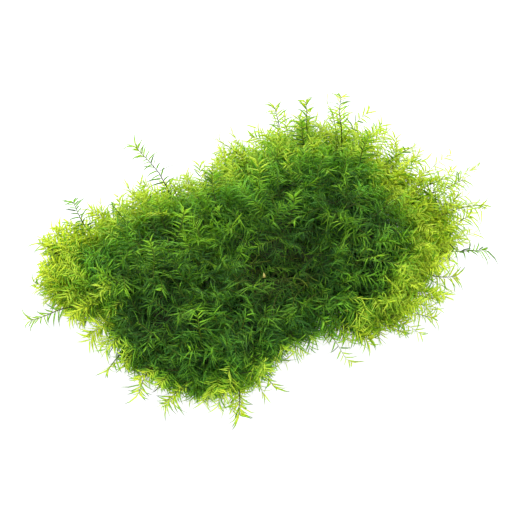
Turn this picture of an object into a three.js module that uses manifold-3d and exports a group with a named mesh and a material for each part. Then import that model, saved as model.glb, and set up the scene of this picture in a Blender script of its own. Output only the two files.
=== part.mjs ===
// A mat of Fissidens geppii, an aquarium moss, taken out of the water and laid on a table.
// Its shoots have grown into one springy, tangled cushion with a flat underside, and single
// fronds stand clear of it all round the rim and over the crown. A frond is a thin stem with
// two flat rows of pointed leaves, like a feather.
// Millimetres, +Z up. The origin is on the table, under the middle of the whole mat, and +X
// runs along its longer way.
import * as THREE from "three";
import { ConvexGeometry } from "three/addons/geometries/ConvexGeometry.js";
import { mergeVertices } from "three/addons/utils/BufferGeometryUtils.js";
import Module from "manifold-3d";

const wasm = await Module();
wasm.setup();

const { degToRad, radToDeg } = THREE.MathUtils;
const UP = new THREE.Vector3(0, 0, 1);
const TURN = 2 * Math.PI;
const GOLDEN_ANGLE = Math.PI * (3 - Math.sqrt(5));

// The cushion. Its outline is the plan of the dense growth where that is widest.
const OUTLINE = [
  [49, -8], [51, 7], [50, 20], [38, 32], [12, 32], [-10, 36], [-27, 37], [-39, 38],
  [-47, 28], [-46, 11], [-48, -6], [-41, -23], [-27, -29], [-7, -26], [6, -31],
  [18, -36], [32, -34], [45, -24],
];
const RIM_HEIGHT = 5; // where the cushion is widest
const FOOT_INSET = 6; // how far the flat foot stays inside the outline
const PLAIN_HEIGHT = 14; // of the crown, away from its two swellings
const SHOULDER = 2.6; // the power of the crown's round-off: 2 is an ellipse, more is flatter
const SWELLINGS = [
  { x: 30, y: 8, reach: 22, height: 9 },
  { x: -27, y: 13, reach: 19, height: 4.5 },
  { x: -5, y: -12, reach: 10, height: -4 }, // the bare hollow between them
];
const LUMP_DEPTH = 1.1; // of the small unevenness of the growth
const COLUMNS = 44; // of faces round the cushion
const CROWN_ROWS = 5; // of faces from the rim to the top

// Frond sizes: a loose frond, and a lock, which is a tuft of fronds that is one with the
// cushion. The sweep is a leaf's angle from the stem, in degrees.
const FROND = { leaf: 3.4, spacing: 2.2, stem: 1.0, bare: 3.5 };
const LOCK = { length: 8, leaf: 4.8, spacing: 2.7, stem: 1.6, bare: 3.5, droop: 1.2 };
const OPEN_SIDE = 40; // degrees of the plan: the rim's locks grow longest towards it
const LOCK_SWING = 0.28; // share by which they are longer there, and shorter opposite
const LONG_SIDE = { heading: -8, extra: 3.6, lift: 0.8 }; // where the fringe stands out and up
const LEAF_SWEEP = 38;
const STEM_TAPER = 0.45; // the share of a stem's width left at its tip
const LOCK_BURIED = 0.8; // of the leafy length, besides the bare root
const RIM_LOCKS = 32;
const CROWN_LOCKS = 34;
const CLEARANCE = 0.3; // between a loose frond and the cushion it grows out of

// The fronds that stand clear of the rim, from the left corner round the back: root on the
// cushion's surface, heading round the plan, rise above level, length, roll about its own
// stem, and how far the tip droops. Degrees and millimetres.
const RIM_FRONDS = [
  { root: [-46, 26, 8], heading: 114, rise: 4, length: 8, roll: 25, droop: 1.0 },
  { root: [-40, 33, 11], heading: 110, rise: 20, length: 8, roll: -30, droop: 1.0 },
  { root: [-31, 33, 13], heading: 82, rise: 44, length: 11, roll: 20, droop: 1.0 },
  { root: [-4, 31, 13], heading: 105, rise: 54, length: 18, roll: -15, droop: 3.0 },
  { root: [19, 26, 17], heading: 110, rise: 36, length: 10, roll: 35, droop: 1.5 },
  { root: [31, 26, 17], heading: 62, rise: 58, length: 11, roll: -20, droop: 1.0 },
  { root: [38, 22, 18], heading: 48, rise: 68, length: 11, roll: 60, droop: 1.0 },
  { root: [44, 15, 18], heading: 48, rise: 68, length: 13, roll: 10, droop: 1.0 },
  { root: [47, 2, 15], heading: -42, rise: 46, length: 12, roll: -40, droop: 1.0 },
  { root: [46, -13, 12], heading: -38, rise: 36, length: 15, roll: 20, droop: 3.0 },
  { root: [44, -20, 11], heading: -28, rise: 26, length: 16, roll: -25, droop: 4.0 },
  { root: [43, -25, 9], heading: -18, rise: 28, length: 11, roll: 30, droop: 1.5 },
  { root: [41, -29, 7], heading: -40, rise: 14, length: 12, roll: -10, droop: 2.0 },
  { root: [31, -33, 8], heading: -50, rise: 4, length: 8, roll: 45, droop: 0.8 },
  { root: [23, -35, 7], heading: -46, rise: 2, length: 8, roll: -35, droop: 1.0 },
  { root: [16, -35, 6], heading: -54, rise: 2, length: 11.5, roll: 15, droop: 1.5 },
  { root: [10, -33, 5], heading: -62, rise: -2, length: 10, roll: -20, droop: 1.2 },
  { root: [2, -29, 5], heading: -68, rise: -4, length: 10, roll: 30, droop: 1.0 },
  { root: [-25, -28, 5], heading: -80, rise: -4, length: 7, roll: -15, droop: 1.2 },
  { root: [-31, -28, 5], heading: -130, rise: -2, length: 10, roll: 20, droop: 1.2 },
  { root: [-42, -21, 6], heading: -174, rise: -4, length: 7, roll: -30, droop: 1.0 },
  { root: [-46, -11, 6], heading: -156, rise: -4, length: 7, roll: 10, droop: 1.2 },
  { root: [-47, -2, 7], heading: -170, rise: -2, length: 7, roll: 35, droop: 1.0 },
  { root: [-46, 19, 7], heading: 163, rise: 4, length: 13.2, roll: -20, droop: 1.2 },
];

// The fronds that stand clear of the crown, by where they root in the plan.
const CROWN_FRONDS = [
  { at: [-21, 10], heading: 20, rise: 55, length: 11, roll: 15, droop: 1.5 },
  { at: [-36, 8], heading: 150, rise: 48, length: 10, roll: -30, droop: 1.5 },
  { at: [-30, -8], heading: -120, rise: 50, length: 11, roll: 25, droop: 1.5 },
  { at: [-17, -10], heading: -70, rise: 52, length: 9, roll: -20, droop: 1.2 },
  { at: [-24, 23], heading: 95, rise: 50, length: 10, roll: 40, droop: 1.2 },
  { at: [-3, 14], heading: 60, rise: 58, length: 10, roll: -25, droop: 1.5 },
  { at: [8, -4], heading: 35, rise: 60, length: 9, roll: 20, droop: 1.0 },
  { at: [12, -22], heading: -60, rise: 45, length: 11, roll: -35, droop: 1.8 },
  { at: [20, 11], heading: 110, rise: 62, length: 10, roll: 30, droop: 1.0 },
  { at: [27, -15], heading: -30, rise: 52, length: 12, roll: -15, droop: 2.0 },
  { at: [38, 2], heading: 5, rise: 64, length: 10, roll: 45, droop: 1.0 },
  { at: [32, 16], heading: 70, rise: 60, length: 9, roll: -40, droop: 1.0 },
];

const COLOURS = {
  cushion: { color: 0x2f5c1a, roughness: 0.75, metalness: 0 }, // deep, shaded old growth
  rimFrond: { color: 0xa9c637, roughness: 0.6, metalness: 0 }, // thin new growth, lit through
  crownFrond: { color: 0x5f9a2c, roughness: 0.6, metalness: 0 }, // fresh tips over the shade
};

// The outline as a smooth closed curve, in short steps.
const OUTLINE_STEPS = 720;
const outlinePoints = new THREE.CatmullRomCurve3(
  OUTLINE.map(([x, y]) => new THREE.Vector3(x, y, 0)), true, "catmullrom", 0.5,
).getPoints(OUTLINE_STEPS);

// How far the outline is from the origin in a direction. The curve goes once round the
// origin, so a ray from there crosses just one of its steps.
function outlineRadius(angle) {
  const ray = new THREE.Vector3(Math.cos(angle), Math.sin(angle), 0);
  for (let i = 0; i < OUTLINE_STEPS; i++) {
    const from = outlinePoints[i];
    const to = outlinePoints[i + 1];
    const sideFrom = ray.x * from.y - ray.y * from.x;
    const sideTo = ray.x * to.y - ray.y * to.x;
    if (sideFrom > 0 || sideTo <= 0 || ray.dot(from) < 0) continue;
    return from.clone().lerp(to, sideFrom / (sideFrom - sideTo)).length();
  }
  throw new Error("the outline doesn't go once round the origin");
}

// How high the crown would be at a point of the plan, before it rounds off to the rim.
function crownHeight(x, y) {
  return SWELLINGS.reduce((height, s) => {
    const squared = ((x - s.x) ** 2 + (y - s.y) ** 2) / (2 * s.reach ** 2);
    return height + s.height * Math.exp(-squared);
  }, PLAIN_HEIGHT);
}

// Three crossed waves, which never repeat over the mat: the unevenness of the growth.
function lump(x, y) {
  const waves = Math.sin(0.41 * x + 0.17 * y) + Math.sin(0.13 * x - 0.47 * y + 1.3)
    + Math.sin(0.31 * x + 0.37 * y + 2.6);
  return (LUMP_DEPTH * waves) / 3;
}

// A point on the crown: angle round the plan, and share of the way from the middle to the rim.
function crownPoint(angle, share) {
  const radius = outlineRadius(angle) * share;
  const x = radius * Math.cos(angle);
  const y = radius * Math.sin(angle);
  const roundOff = (1 - share ** SHOULDER) ** (1 / SHOULDER);
  const height = crownHeight(x, y) + lump(x, y) - RIM_HEIGHT;
  return new THREE.Vector3(x, y, RIM_HEIGHT + height * roundOff);
}

// The outward normal there, from two short steps along the crown.
function crownNormal(angle, share) {
  const step = 0.02;
  const here = crownPoint(angle, share);
  const round = crownPoint(angle + step, share).sub(here);
  const inward = crownPoint(angle, share - step).sub(here);
  return round.cross(inward).normalize();
}

function geometryOf(positions, faces) {
  const geometry = new THREE.BufferGeometry();
  geometry.setAttribute("position", new THREE.Float32BufferAttribute(positions, 3));
  geometry.setIndex(faces);
  return geometry;
}

// The bare cushion: rings of points from the flat foot over the rim to the middle of the top.
function cushionGeometry() {
  const positions = [0, 0, 0];
  const faces = [];
  const at = (ring, column) => 1 + ring * COLUMNS + (column % COLUMNS);
  for (let ring = 0; ring <= CROWN_ROWS; ring++) {
    // The steps along the crown are shorter where it turns down to the rim.
    const share = Math.cos((Math.PI / 2) * ((ring - 1) / CROWN_ROWS)) ** 0.8;
    for (let column = 0; column < COLUMNS; column++) {
      const angle = (TURN * column) / COLUMNS;
      const foot = outlineRadius(angle) - FOOT_INSET;
      positions.push(...(ring === 0
        ? [foot * Math.cos(angle), foot * Math.sin(angle), 0]
        : crownPoint(angle, share).toArray()));
    }
  }
  const middle = positions.length / 3;
  positions.push(...crownPoint(0, 0).toArray());
  for (let column = 0; column < COLUMNS; column++) {
    faces.push(0, at(0, column + 1), at(0, column));
    for (let ring = 0; ring < CROWN_ROWS; ring++) {
      faces.push(at(ring, column), at(ring, column + 1), at(ring + 1, column + 1));
      faces.push(at(ring, column), at(ring + 1, column + 1), at(ring + 1, column));
    }
    faces.push(at(CROWN_ROWS, column), at(CROWN_ROWS, column + 1), middle);
  }
  return geometryOf(positions, faces);
}

// A frond that stands along +Z with its leaves along +X and -X, and droops to -Y. The stem is
// square, and each side face of each joint is drawn out to a leaf's point, so the frond is one
// closed body. The leaves of one side sit half a joint higher than those of the other, and the
// joint below the origin is bare: that is the root, inside the cushion.
function frondGeometry({ length, leaf, spacing, stem, bare, droop }) {
  const leafJoints = Math.round(length / spacing);
  const sweep = degToRad(LEAF_SWEEP);
  const positions = [];
  const faces = [];
  const bend = (z) => -droop * (Math.max(z, 0) / length) ** 2;
  const joint = length / (leafJoints + 0.5);
  const heights = [-bare, ...Array.from({ length: leafJoints + 1 }, (_, i) => i * joint)];
  for (const height of heights) {
    for (const [sideX, sideY] of [[-1, -1], [1, -1], [1, 1], [-1, 1]]) {
      const z = height + (sideX > 0 && height >= 0 ? joint / 2 : 0);
      const half = (stem / 2) * (1 - (1 - STEM_TAPER) * Math.max(z, 0) / length);
      positions.push(sideX * half, bend(z) + sideY * half, z);
    }
  }
  const corner = (level, k) => level * 4 + (k % 4);
  faces.push(3, 2, 1, 3, 1, 0);
  for (let level = 0; level <= leafJoints; level++) {
    for (let k = 0; k < 4; k++) {
      const ring = [corner(level, k), corner(level, k + 1),
        corner(level + 1, k + 1), corner(level + 1, k)];
      const side = [0, 1, 0, -1][k];
      if (level === 0 || side === 0) {
        faces.push(ring[0], ring[1], ring[2], ring[0], ring[2], ring[3]);
        continue;
      }
      // Leaves are shortest at the root of the frond, and sweep forward more at its tip.
      const share = (level - 1) / leafJoints;
      const reach = leaf * (0.62 + 0.38 * Math.sin(Math.PI * Math.min(1, share + 0.15)));
      const turn = sweep * (1.25 - 0.5 * share);
      const z = heights[level] + joint * (side > 0 ? 1 : 0.5);
      const tip = positions.length / 3;
      positions.push(side * (reach * Math.sin(turn) + stem / 2),
        bend(z) - 0.12 * reach, z + reach * Math.cos(turn));
      for (let e = 0; e < 4; e++) faces.push(ring[e], ring[(e + 1) % 4], tip);
    }
  }
  const point = positions.length / 3;
  positions.push(0, bend(length), length + leaf / 2);
  for (let k = 0; k < 4; k++) {
    faces.push(corner(leafJoints + 1, k), corner(leafJoints + 1, k + 1), point);
  }
  return geometryOf(positions, faces);
}

// Turns +Z to a heading and a rise, keeps the frond's back up, and rolls it about its stem.
function frondTurn({ heading, rise, roll }) {
  const h = degToRad(heading);
  const r = degToRad(rise);
  const along = new THREE.Vector3(
    Math.cos(r) * Math.cos(h), Math.cos(r) * Math.sin(h), Math.sin(r));
  const side = new THREE.Vector3(-Math.sin(h), Math.cos(h), 0);
  const basis = new THREE.Matrix4().makeBasis(side, along.clone().cross(side), along);
  return new THREE.Quaternion().setFromRotationMatrix(basis)
    .multiply(new THREE.Quaternion().setFromAxisAngle(UP, degToRad(roll)));
}

function placed(geometry, { at, ...turn }) {
  return geometry.applyMatrix4(new THREE.Matrix4().compose(
    at, frondTurn(turn), new THREE.Vector3(1, 1, 1)));
}

function solidOf(geometry) {
  geometry.deleteAttribute("normal");
  geometry.deleteAttribute("uv");
  const merged = mergeVertices(geometry, 1e-4);
  return new wasm.Manifold(new wasm.Mesh({
    numProp: 3,
    vertProperties: merged.attributes.position.array,
    triVerts: new Uint32Array(merged.index.array),
  }));
}

function geometryFrom(solid) {
  const mesh = solid.getMesh();
  const geometry = geometryOf(mesh.vertProperties, [...mesh.triVerts]);
  geometry.computeVertexNormals();
  return geometry;
}

// A lock at a place on the crown, which leans from the crown's normal to the way it spreads.
function lockPlace({ lift = 0, ...form }, angle, share, lean, stray, roll) {
  const spread = new THREE.Vector3(Math.cos(angle + stray), Math.sin(angle + stray), lift);
  const along = crownNormal(angle, share).lerp(spread, lean).normalize();
  return {
    form,
    at: crownPoint(angle, share).addScaledVector(along, -LOCK_BURIED),
    heading: radToDeg(Math.atan2(along.y, along.x)),
    rise: radToDeg(Math.asin(along.z)),
    roll,
  };
}

function rimLock(angle) {
  const swing = LOCK_SWING * Math.cos(angle - degToRad(OPEN_SIDE));
  const long = Math.max(0, Math.cos(angle - degToRad(LONG_SIDE.heading))) ** 4;
  return {
    ...LOCK,
    length: LOCK.length * (1 + swing) + LONG_SIDE.extra * long,
    leaf: LOCK.leaf * (1 + swing / 2),
    lift: LONG_SIDE.lift * long,
  };
}

// The locks: a ring of them spreads from the rim, and a golden-angle spiral covers the crown.
// Sines of the count give each its own lean, stray and roll.
const lockPlaces = [
  ...Array.from({ length: RIM_LOCKS }, (_, i) => {
    const angle = (TURN * (i + 0.3 * Math.sin(7.3 * i))) / RIM_LOCKS;
    return lockPlace(rimLock(angle), angle, 0.965 + 0.025 * Math.sin(4.7 * i),
      0.75 + 0.2 * Math.sin(2.4 * i), 0.35 * Math.sin(5.1 * i), 40 * Math.sin(3.1 * i));
  }),
  ...Array.from({ length: CROWN_LOCKS }, (_, i) => lockPlace(
    LOCK, (i * GOLDEN_ANGLE) % TURN, 0.88 * Math.sqrt((i + 0.5) / CROWN_LOCKS),
    0.5 + 0.15 * Math.sin(4.1 * i), 0.9 * Math.sin(12.9 * i), 50 * Math.sin(2.7 * i))),
];

const looseFronds = [
  ...RIM_FRONDS.map(({ root, ...frond }, i) => ({
    ...frond, name: `rim_frond_${String(i + 1).padStart(2, "0")}`,
    at: new THREE.Vector3(...root), look: COLOURS.rimFrond,
  })),
  ...CROWN_FRONDS.map(({ at: [x, y], ...frond }, i) => {
    const angle = Math.atan2(y, x);
    return {
      ...frond, name: `crown_frond_${String(i + 1).padStart(2, "0")}`,
      at: crownPoint(angle, Math.hypot(x, y) / outlineRadius(angle)),
      look: COLOURS.crownFrond,
    };
  }),
];

// The room a loose frond needs in the cushion: a flat hull round the boxes of its root, its
// lower half and its upper half, with the clearance on every side.
function frondRoom(frond) {
  const shape = frondGeometry({ ...FROND, ...frond }).attributes.position;
  const boxes = [new THREE.Box3(), new THREE.Box3(), new THREE.Box3()];
  for (let i = 0; i < shape.count; i++) {
    const point = new THREE.Vector3().fromBufferAttribute(shape, i);
    boxes[point.z <= 0 ? 0 : point.z < frond.length / 2 ? 1 : 2].expandByPoint(point);
  }
  const corners = boxes.flatMap((box) => {
    const { min, max } = box.expandByScalar(CLEARANCE);
    return [min.x, max.x].flatMap((x) => [min.y, max.y].flatMap(
      (y) => [min.z, max.z].map((z) => new THREE.Vector3(x, y, z))));
  });
  return solidOf(placed(new ConvexGeometry(corners), frond));
}

// The cushion with its locks, a socket for the root of each loose frond, and nothing below the
// table.
function matSolid() {
  let solid = solidOf(cushionGeometry());
  for (const { form, ...place } of lockPlaces) {
    solid = solid.add(solidOf(placed(frondGeometry(form), place)));
  }
  for (const frond of looseFronds) solid = solid.subtract(frondRoom(frond));
  const pieces = solid.trimByPlane([0, 0, 1], 0).decompose();
  return pieces.reduce((a, b) => (b.volume() > a.volume() ? b : a));
}

const group = new THREE.Group();
const mat = new THREE.Mesh(
  geometryFrom(matSolid()), new THREE.MeshStandardMaterial(COLOURS.cushion));
mat.name = "moss_mat";
group.add(mat);

for (const frond of looseFronds) {
  const mesh = new THREE.Mesh(
    frondGeometry({ ...FROND, ...frond }), new THREE.MeshStandardMaterial(frond.look));
  mesh.name = frond.name;
  mesh.position.copy(frond.at);
  mesh.quaternion.copy(frondTurn(frond));
  group.add(mesh);
}

export default group;
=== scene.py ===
import math
import bpy
import numpy as np
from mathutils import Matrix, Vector


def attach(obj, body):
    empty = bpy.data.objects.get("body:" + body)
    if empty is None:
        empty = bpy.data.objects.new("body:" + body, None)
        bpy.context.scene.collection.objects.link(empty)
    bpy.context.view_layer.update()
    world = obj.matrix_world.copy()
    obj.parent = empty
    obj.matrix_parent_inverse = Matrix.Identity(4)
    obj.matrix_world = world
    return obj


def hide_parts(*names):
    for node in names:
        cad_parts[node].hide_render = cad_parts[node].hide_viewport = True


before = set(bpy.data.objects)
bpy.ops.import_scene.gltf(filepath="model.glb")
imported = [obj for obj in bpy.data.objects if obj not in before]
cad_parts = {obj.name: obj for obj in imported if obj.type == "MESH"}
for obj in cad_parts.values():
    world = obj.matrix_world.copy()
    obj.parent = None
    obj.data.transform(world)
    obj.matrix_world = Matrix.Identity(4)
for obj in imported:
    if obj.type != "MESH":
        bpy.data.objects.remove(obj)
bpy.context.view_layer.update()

# A mat of Fissidens geppii, an aquarium moss, laid on a table: a springy tangle of flat, feather-like
# shoots. Lengths are in millimetres until a mesh is made. The cushion repeats the model's own shape.
mm = 0.001
random = np.random.default_rng(2)
goldenShare = (math.sqrt(5) - 1) / 2
upward = np.array([0, 0, 1.0])
print("frame: %d nodes" % len(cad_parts))

cushion = {
    "outline": [(49, -8), (51, 7), (50, 20), (38, 32), (12, 32), (-10, 36), (-27, 37), (-39, 38),
                (-47, 28), (-46, 11), (-48, -6), (-41, -23), (-27, -29), (-7, -26), (6, -31),
                (18, -36), (32, -34), (45, -24)],
    "rimHeight": 5.0,
    "footInset": 6.0,  # how far the foot is drawn in from the rim
    "plainHeight": 14.0,
    "shoulder": 2.6,  # the power of the superellipse
    "swellings": [(30, 8, 22, 9), (-27, 13, 19, 4.5), (-5, -12, 10, -4)],  # x, y, reach, height
    "lumpDepth": 1.1,
    "lumps": [(0.41, 0.17, 0.0), (0.13, -0.47, 1.3), (0.31, 0.37, 2.6)],  # rates over x and y, start
}


def unit(v):
    return v / np.maximum(np.linalg.norm(v, axis=-1, keepdims=True), 1e-9)


def smooth(low, high, x):
    # 0 below low, 1 above high, and an S-curve between them
    t = np.clip((x - low) / (high - low), 0, 1)
    return t * t * (3 - 2 * t)


# The value that is this share of the way between two limits.
def mixed(limits, share):
    return limits[0] + (limits[1] - limits[0]) * share


def between(limits, count):
    return random.uniform(limits[0], limits[1], count)


# Random steps in space, with this standard deviation along each axis.
def scatter(spread, count):
    return random.normal(0, spread, (count, 3))


# Directions that are tilted at random from face towards side.
def tilted(face, side, spread):
    tilt = random.normal(0, spread, len(face))[:, None]
    return np.cos(tilt) * face + np.sin(tilt) * side


def wayOut(heading, rise=0.0):
    return np.stack([np.cos(heading), np.sin(heading), rise + 0 * heading], -1)


# The outline is a closed Catmull-Rom curve through its points: each span is a cubic of its two ends and
# its two neighbours. It is kept as a radius for each angle round the middle.
def outlineTable(steps=48):
    p = np.array(cushion["outline"], float)
    before, a, b, after = (np.roll(p, k, axis=0)[:, None] for k in (1, 0, -1, -2))
    t = np.linspace(0, 1, steps, endpoint=False)[None, :, None]
    curve = 0.5 * (2 * a + (b - before) * t + (2 * before - 5 * a + 4 * b - after) * t ** 2
                   + (3 * a - before - 3 * b + after) * t ** 3)
    x, y = curve.reshape(-1, 2).T
    angle = np.arctan2(y, x)
    order = np.argsort(angle)
    return angle[order], np.hypot(x, y)[order]


tableAngle, tableRadius = outlineTable()


def outlineRadius(angle):
    return np.interp(np.mod(angle + np.pi, 2 * np.pi) - np.pi, tableAngle, tableRadius,
                     period=2 * np.pi)


# The crown's height is a plain height, two round swellings, a hollow, and the mean of three waves that
# cross one another.
def crownHeight(x, y):
    height = cushion["plainHeight"] + 0 * x
    for middleX, middleY, reach, rise in cushion["swellings"]:
        height = height + rise * np.exp(-((x - middleX) ** 2 + (y - middleY) ** 2) / (2 * reach ** 2))
    waves = sum(np.sin(rateX * x + rateY * y + start) for rateX, rateY, start in cushion["lumps"])
    return height + cushion["lumpDepth"] * waves / len(cushion["lumps"])


# A point of the cushion's skin. The girth is 0 in the middle of the top, 1 at the rim and 2 at the edge
# of the foot: a superellipse down to the rim, then straight in to the table. The inset draws the rim
# in, and the drop lowers the crown.
def skinPoint(angle, girth, inset=0.0, drop=0.0):
    share = np.clip(girth, 0, 1)
    below = np.clip(girth - 1, 0, 1)
    radius = (outlineRadius(angle) - inset) * share - cushion["footInset"] * below
    x, y = radius * np.cos(angle), radius * np.sin(angle)
    rim = cushion["rimHeight"]
    roundOff = (1 - share ** cushion["shoulder"]) ** (1 / cushion["shoulder"])
    z = rim * (1 - below) + (crownHeight(x, y) - drop - rim) * roundOff
    return np.stack([x, y, z], -1)


# The skin's outward normal: the cross product of two short steps, one round the mat and one down it.
def skinNormal(angle, girth, step=0.01):
    girth = np.clip(girth, 3 * step, 2 - 3 * step)
    aside = skinPoint(angle + step, girth) - skinPoint(angle - step, girth)
    down = skinPoint(angle, girth + step) - skinPoint(angle, girth - step)
    return unit(np.cross(down, aside))


# The skin's points, and the plain skin's normals, on a grid with a row for each girth.
def skinGrid(angles, girths, **changes):
    angle, girth = np.meshgrid(angles, girths)
    return skinPoint(angle, girth, **changes), skinNormal(angle, girth)


# How far a place lies in from the rim, and in which direction from the middle.
def fromRim(x, y):
    angle = np.arctan2(y, x)
    return angle, outlineRadius(angle) - np.hypot(x, y)


# The rim is steep on the near side, and wide and loose on the far, left and right sides. Its tables are
# by heading in degrees. Reach is how far past the rim the fringe may go. New-and-lit depth is how far
# in from the rim new growth and painted light through the thin fringe go, and new-and-lit height how
# far up from the table, lit from below as painted light. Missing is the share of new shoots that are
# left out.
rimForm = {
    "openWay": 45,
    "openFrom": (-0.8, -0.2),  # cosines of the angle from that way: steep below, open above
    "reach": [(-180, -3), (-165, -3.5), (-150, -2), (-135, -2), (-120, -3.3), (-105, -3.4),
              (-90, -3), (-75, 2.5), (-60, 0), (-45, -4), (-30, 3.5), (-15, 8), (0, 7.5), (15, 3),
              (30, 7.5), (45, -0.5), (60, 1.5), (75, -1.5), (90, 3), (105, 4), (120, 5), (135, 3),
              (150, 0.5), (165, -5)],
    "newDepth": [(-180, -0.5), (-165, -1), (-150, -0.5), (-135, -0.5), (-120, -2.5), (-105, -4),
                 (-90, -4), (-75, -1.5), (-60, 3.5), (-45, 7.5), (-30, 9), (-15, 11), (0, 10),
                 (15, 6), (30, 4), (60, 2), (90, 2), (105, 3), (120, 8), (135, 11), (150, 6),
                 (165, 5)],
    "newHeight": [(-180, 2), (-165, 2.5), (-135, 2.5), (-120, 2), (-105, 0), (-90, 0), (-75, 1),
                  (-60, 3), (-45, 5), (0, 5), (135, 5), (165, 3)],
    "missing": [(-180, 0), (-80, 0.05), (-60, 0.15), (-15, 0.3), (15, 0.25), (45, 0.2), (150, 0.15)],
    "depthBlur": (1.8, 0.3),  # half the width of the turn from new and lit through to old, and more for each mm
    "heightBlur": 2.5,
    "lowWithin": (1, 8),  # new growth close to the table, with painted light from the table below, ends this far in from the rim
    "fade": (2.0, 4.5),  # how far in from its reach the fringe thins, near side and open sides
    "tipAt": 0.9,  # a bent shoot's tip, as a share of its length
}


def atHeading(key, angle):
    headings, values = np.transpose(rimForm[key])
    return np.interp(np.degrees(angle), headings, values, period=360)


def openSide(angle):
    return smooth(*rimForm["openFrom"], np.cos(angle - math.radians(rimForm["openWay"])))


def newObject(name, data):
    item = bpy.data.objects.new(name, data)
    bpy.context.scene.collection.objects.link(item)
    return item


# The whole mesh goes in as arrays. Points are in millimetres, faces are triangles, and uv is one pair
# for each point.
def makePiece(name, points, faces, material, uv=None, slotName="old_growth", nodes=("moss_mat",)):
    mesh = bpy.data.meshes.new(name)
    mesh.vertices.add(len(points))
    mesh.vertices.foreach_set("co", (points * mm).astype(np.float32).ravel())
    mesh.loops.add(faces.size)
    mesh.loops.foreach_set("vertex_index", faces.astype(np.int32).ravel())
    mesh.polygons.add(len(faces))
    mesh.polygons.foreach_set("loop_start", np.arange(0, faces.size, 3, dtype=np.int32))
    mesh.update(calc_edges=True)
    if uv is not None:
        layer = mesh.uv_layers.new(name=colourMapName)
        layer.data.foreach_set("uv", uv[faces.ravel()].astype(np.float32).ravel())
    mesh.materials.append(material)
    piece = newObject(name, mesh)
    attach(piece, "root")
    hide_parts(*nodes)
    print("%s: %d faces" % (name, len(faces)))
    return piece


# Materials

colourMapName = "OFBake"  # the leaves' UV map, which is also the one that their colours are baked to
newAndLitThroughLimits = (0.01, 0.99)  # of the colour map's u
colourA, colourB, colourOut = 6, 7, 2  # the sockets for colours on a Mix node


def linear(hexColour):
    channels = [int(hexColour[i:i + 2], 16) / 255 for i in (1, 3, 5)]
    return [c / 12.92 if c <= 0.04045 else ((c + 0.055) / 1.055) ** 2.4 for c in channels] + [1.0]


# Adds a shader node, with its properties, its sockets' values and its links, and sets a ramp's
# colours. A link's source is a socket, or a node for its first output.
def addNode(tree, kind, values=None, links=None, stops=None, **settings):
    node = tree.nodes.new("ShaderNode" + kind)
    for name, value in settings.items():
        setattr(node, name, value)
    for socket, value in (values or {}).items():
        node.inputs[socket].default_value = value
    for socket, source in (links or {}).items():
        output = source.outputs[0] if isinstance(source, bpy.types.Node) else source
        tree.links.new(output, node.inputs[socket])
    for i, (place, colour) in enumerate(stops or []):
        elements = node.color_ramp.elements
        element = elements[i] if i < 2 else elements.new(place)
        element.position, element.color = place, linear(colour)
    return node


def emptyTree(owner):
    owner.use_nodes = True
    owner.node_tree.nodes.clear()
    return owner.node_tree


leafLook = {
    # from the oldest growth to the newest
    "cool": [(0.0, "#1A3C15"), (0.3, "#286022"), (0.58, "#62B032"), (0.88, "#BEE04C")],
    "warm": [(0.0, "#283C0C"), (0.3, "#426C17"), (0.58, "#9ACE26"), (0.88, "#DAEA40")],
    "litThrough": [(0.0, "#467C16"), (0.3, "#6EA61B"), (0.58, "#C2E62A"), (0.88, "#EAF458")],
    "stem": [(0.0, "#3A320E"), (0.3, "#4E5E1C"), (0.55, "#8CAA2A"), (0.85, "#B4CC3A"),
             (1.0, "#E2D684")],
    "hueLimits": (0.02, 0.8),  # of the colour map's v, from cool green to warm
    "stemAbove": 0.85,  # and stems have a v above this
    "litShare": 0.52,
    "oldRoughness": 0.6, "newRoughness": 0.45, "ior": 1.42,
}


# Wet moss leaf: one layer of cells thick, so it is lit through like thin green film, with a soft wet
# gloss. In the colour map, u is how new the growth is, and also holds painted light and painted shade.
# The lower part of v goes from cool to warm green, and the part above that is bare stem.
def wetMossLeaf():
    material = bpy.data.materials.new("wetMossLeaf")
    tree = emptyTree(material)
    mapNode = addNode(tree, "UVMap", uv_map=colourMapName)
    parts = addNode(tree, "SeparateXYZ", links={0: mapNode})
    age, hue = parts.outputs["X"], parts.outputs["Y"]
    ramps = {key: addNode(tree, "ValToRGB", links={0: age}, stops=leafLook[key])
             for key in ("cool", "warm", "litThrough", "stem")}
    warmth = addNode(tree, "MapRange", links={"Value": hue}, values={
        "From Max": leafLook["hueLimits"][1]})
    green = addNode(tree, "Mix", data_type="RGBA", links={
        "Factor": warmth, colourA: ramps["cool"], colourB: ramps["warm"]})
    isStem = addNode(tree, "Math", operation="GREATER_THAN", links={0: hue},
                     values={1: leafLook["stemAbove"]})
    colour = addNode(tree, "Mix", data_type="RGBA", links={
        "Factor": isStem, colourA: green.outputs[colourOut], colourB: ramps["stem"]})
    through = addNode(tree, "Mix", data_type="RGBA", links={
        "Factor": isStem, colourA: ramps["litThrough"], colourB: ramps["stem"]})
    rough = addNode(tree, "MapRange", links={"Value": age}, values={
        "To Min": leafLook["oldRoughness"], "To Max": leafLook["newRoughness"]})
    front = addNode(tree, "BsdfPrincipled", values={"IOR": leafLook["ior"]}, links={
        "Base Color": colour.outputs[colourOut], "Roughness": rough})
    back = addNode(tree, "BsdfTranslucent", links={"Color": through.outputs[colourOut]})
    both = addNode(tree, "MixShader", values={0: leafLook["litShare"]},
                   links={1: front, 2: back})
    addNode(tree, "OutputMaterial", links={"Surface": both})
    return material


feltLook = {
    "colours": [(0.0, "#16200A"), (0.45, "#263A12"), (0.75, "#42401A"), (1.0, "#5C4A20")],
    "clumpWidth": 1.4,  # mm, about four stems
    "stemWidth": 0.35,
    "roughness": 0.8,
}
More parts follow.
